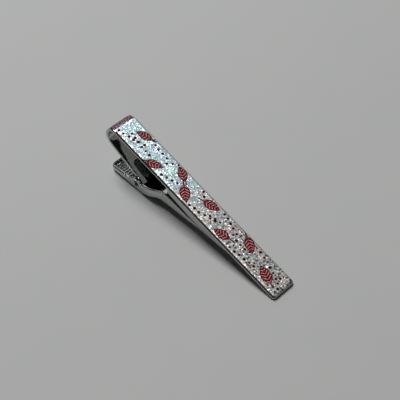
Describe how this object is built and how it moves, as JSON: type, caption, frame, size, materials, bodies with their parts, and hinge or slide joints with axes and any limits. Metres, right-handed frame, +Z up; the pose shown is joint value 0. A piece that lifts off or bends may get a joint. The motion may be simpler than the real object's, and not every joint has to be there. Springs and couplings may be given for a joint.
{
  "type": "tie clip",
  "caption": "Spring tie clip: a straight decorated bar folded back into a sloping leg, with a hinged lever whose ribbed thumb pad opens a toothed jaw behind the bar.",
  "frame": {"origin": "on the table under the middle of the clip, as it lies on its thumb pad and the tip of its bar", "axes": "+X from the fold towards the tip of the bar, +Y along the hinge pin, +Z up from the table"},
  "size_m": [0.054, 0.0076, 0.0142],
  "materials": {
    "chrome": "polished",
    "printed_film": "glossy print",
    "pin_steel": "plain",
    "spring_steel": "plain"
  },
  "bodies": {
    "bar": {"front_bar": "chrome", "face_film": "printed_film", "hinge_pin": "pin_steel", "leaf_spring": "spring_steel"},
    "lever": {"clasp_lever": "chrome"}
  },
  "joints": [
    {"name": "lever_hinge", "type": "hinge", "parent": "bar", "child": "lever", "pos_m": [-0.01656, 0, 0.00237], "axis": [0, 1, 0], "range_deg": [0, 36], "stiffness_Nm_per_rad": 0.03, "springref_deg": -1.72, "deforming": ["leaf_spring"]}
  ]
}
